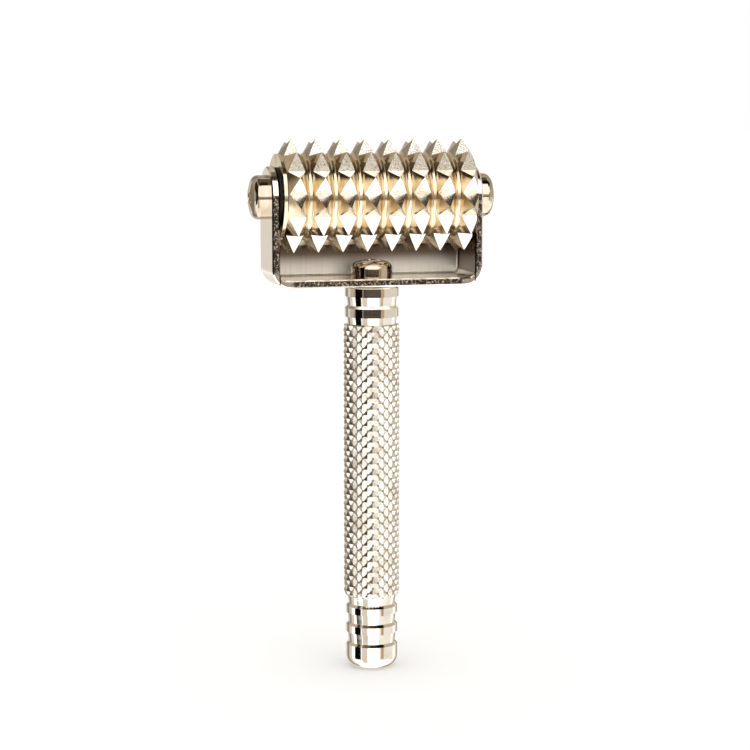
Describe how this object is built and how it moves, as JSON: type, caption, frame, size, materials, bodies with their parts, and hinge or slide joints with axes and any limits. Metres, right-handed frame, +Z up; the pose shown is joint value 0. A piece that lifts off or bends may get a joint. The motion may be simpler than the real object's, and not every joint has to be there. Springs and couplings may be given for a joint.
{
  "type": "derma roller",
  "caption": "Hand-held metal skin roller: a drum covered in pyramid points turns on an axle in a U-shaped yoke, on a slim knurled handle with ringed ends.",
  "frame": {"origin": "centre of the handle's flat end, the lowest point when the roller is held upright, on the handle's axis", "axes": "+Z up the handle to the drum, X along the drum's axle, +Y towards the yoke's back wall, so the yoke is open towards -Y"},
  "size_m": [0.0526, 0.024, 0.113],
  "materials": {
    "yoke_metal": "nickel plated pressed sheet, softly polished outside, vertically brushed inside, rough cut edges",
    "drum_metal": "nickel plated and machined, fine tool marks on the tooth faces",
    "bush_plastic": "black acetal, turned",
    "axle_steel": "ground",
    "screw_metal": "polished nickel",
    "handle_metal": "polished nickel plate, turned",
    "grip_metal": "nickel plate over diamond knurling"
  },
  "bodies": {
    "frame": {"yoke": "yoke_metal", "axle": "axle_steel", "axle_screw_left": "screw_metal", "axle_screw_right": "screw_metal", "handle_screw": "screw_metal", "neck_collar": "handle_metal", "grip_tube": "grip_metal", "end_cap": "handle_metal"},
    "roller": {"roller_drum": "drum_metal", "bush_left": "bush_plastic", "bush_right": "bush_plastic"}
  },
  "joints": [
    {"name": "drum_spin", "type": "hinge", "parent": "frame", "child": "roller", "pos_m": [0, 0, 0.101], "axis": [1, 0, 0], "continuous": true}
  ]
}
